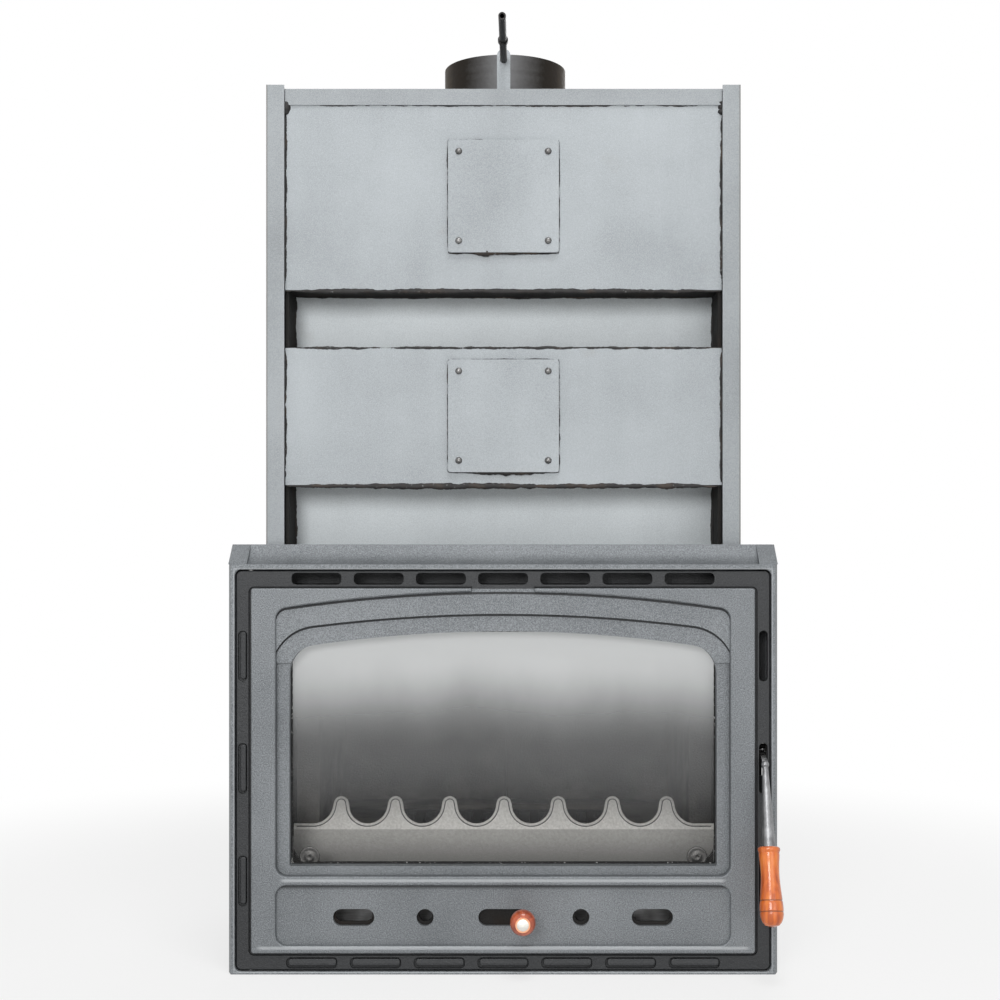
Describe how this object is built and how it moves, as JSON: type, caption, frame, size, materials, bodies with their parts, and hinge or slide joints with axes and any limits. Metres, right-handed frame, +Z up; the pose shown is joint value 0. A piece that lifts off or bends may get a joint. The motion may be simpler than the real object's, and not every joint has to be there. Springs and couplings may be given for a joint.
{
  "type": "fireplace insert",
  "caption": "Steel fireplace insert with a cast front, glazed hinged door, wooden handle, sliding air control, cleaning hatches and a round flue collar with damper.",
  "frame": {"origin": "middle of the base, on the floor, half way between the front of the surround and the back", "axes": "+Z up, -Y out of the glazed front, +X to the right seen from the front"},
  "size_m": [0.6, 0.525, 1.055],
  "materials": {
    "cast_grey": "metallic grey stove paint over sand-cast iron",
    "silver_sheet": "silver-grey stove paint on sheet steel",
    "firebox_steel": "grey stove paint on welded plate",
    "pale_cast": "pale grey stove paint on cast iron",
    "bare_cast": "bare casting",
    "firebrick": "matt refractory",
    "stove_glass": "clear ceramic glass",
    "seal_rope": "woven glass fibre",
    "zinc_steel": "zinc-plated steel",
    "lever_steel": "satin steel",
    "grip_wood": "varnished turned wood",
    "knob_wood": "varnished turned wood",
    "cap_metal": "polished",
    "collar_paint": "dark brown-grey semi-gloss paint"
  },
  "bodies": {
    "body": {"surround_frame": "cast_grey", "frame_bolts": "zinc_steel", "hinge_pins": "zinc_steel", "latch_catch": "zinc_steel", "base_plate": "firebox_steel", "firebox_front_plate": "firebox_steel", "left_side_plate": "firebox_steel", "right_side_plate": "firebox_steel", "back_plate": "firebox_steel", "ash_floor": "firebox_steel", "hearth_plate": "firebox_steel", "grate": "bare_cast", "ash_pan": "zinc_steel", "log_retainer": "pale_cast", "left_side_bricks": "firebrick", "right_side_bricks": "firebrick", "back_bricks": "firebrick", "floor_bricks": "firebrick", "baffle_plate": "firebrick", "firebox_ledge": "firebox_steel", "lower_neck_plate": "firebox_steel", "upper_neck_plate": "firebox_steel", "chamber_shelves": "firebox_steel", "lower_front_panel": "silver_sheet", "upper_front_panel": "silver_sheet", "lower_hatch_cover": "silver_sheet", "upper_hatch_cover": "silver_sheet", "hatch_gaskets": "seal_rope", "hatch_bolts": "zinc_steel", "inner_top_plate": "firebox_steel", "left_jacket": "silver_sheet", "right_jacket": "silver_sheet", "back_jacket": "silver_sheet", "top_cover": "silver_sheet", "flue_collar": "collar_paint", "damper_bracket": "zinc_steel", "bracket_screw": "zinc_steel"},
    "door": {"door_casting": "cast_grey", "door_glass": "stove_glass", "glass_rope": "seal_rope", "glass_clips": "zinc_steel", "clip_screws": "zinc_steel", "door_rope": "seal_rope", "register_guides": "zinc_steel", "handle_bracket": "zinc_steel", "handle_pivot_pin": "zinc_steel"},
    "handle": {"handle_lever": "lever_steel", "handle_grip": "grip_wood"},
    "air_slider": {"register_plate": "zinc_steel", "knob_rod": "zinc_steel", "air_knob": "knob_wood", "knob_cap": "cap_metal"},
    "damper": {"damper_axle": "zinc_steel", "damper_disc": "zinc_steel", "damper_screws": "zinc_steel"}
  },
  "joints": [
    {"name": "door_hinge", "type": "hinge", "parent": "body", "child": "door", "pos_m": [-0.276, -0.211, 0.222], "axis": [0, 0, -1], "range_deg": [0, 110]},
    {"name": "handle_pivot", "type": "hinge", "parent": "door", "child": "handle", "pos_m": [0.28385, -0.205, 0.236], "axis": [-1, 0, 0], "range_deg": [0, 45]},
    {"name": "air_slide", "type": "slide", "parent": "door", "child": "air_slider", "axis": [-1, 0, 0], "range_m": [0, 0.043]},
    {"name": "damper_turn", "type": "hinge", "parent": "body", "child": "damper", "pos_m": [0, 0.03, 1.016], "axis": [0, 1, 0], "range_deg": [0, 90]}
  ]
}
